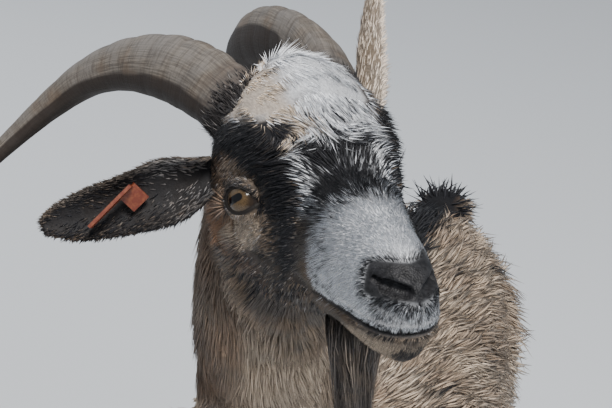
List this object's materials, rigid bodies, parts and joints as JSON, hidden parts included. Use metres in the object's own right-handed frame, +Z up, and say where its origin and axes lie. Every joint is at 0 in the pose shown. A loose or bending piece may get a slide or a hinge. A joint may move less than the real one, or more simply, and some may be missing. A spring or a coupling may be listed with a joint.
{
  "type": "standing horned goat",
  "caption": "Small horned goat standing with its neck raised and head turned to its left, with shaggy coat, beard, swept horns and a blank ear tag.",
  "frame": {"origin": "on the floor, under the middle of the model's box", "axes": "+Z up; the trunk faces -Y and its left side is +X; the head is turned about 41 degrees to its left"},
  "size_m": [0.3662, 0.7654, 0.8186],
  "materials": {
    "body_coat": "long shaggy tan and grey-brown goat hair",
    "face_coat": "short white, black and tan hair lying flat",
    "dark_coat": "dark brown-black hair",
    "ear_coat": "short grey-brown hair, dark inside",
    "beard": "straight grey-brown strands",
    "horn": "ridged grey-tan keratin, darker at the base and below",
    "hoof": "dull dark keratin",
    "eye": "wet amber eye with a level slit pupil",
    "tag": "blank orange ear tag"
  },
  "bodies": {
    "root": {"beard": "beard", "ear_left": "ear_coat", "ear_right": "ear_coat", "ear_tag": "tag", "ear_tag_back": "tag", "eye_left": "eye", "eye_right": "eye", "head": "face_coat", "hoof_front_left_inner": "hoof", "hoof_front_left_outer": "hoof", "hoof_front_right_inner": "hoof", "hoof_front_right_outer": "hoof", "hoof_hind_left_inner": "hoof", "hoof_hind_left_outer": "hoof", "hoof_hind_right_inner": "hoof", "hoof_hind_right_outer": "hoof", "horn_left": "horn", "horn_right": "horn", "leg_front_left": "body_coat", "leg_front_right": "body_coat", "leg_hind_left": "body_coat", "leg_hind_right": "body_coat", "lower_jaw": "face_coat", "neck": "body_coat", "shank_front_left": "dark_coat", "shank_front_right": "dark_coat", "shank_hind_left": "dark_coat", "shank_hind_right": "dark_coat", "tail": "dark_coat", "trunk": "body_coat"}
  },
  "joints": []
}
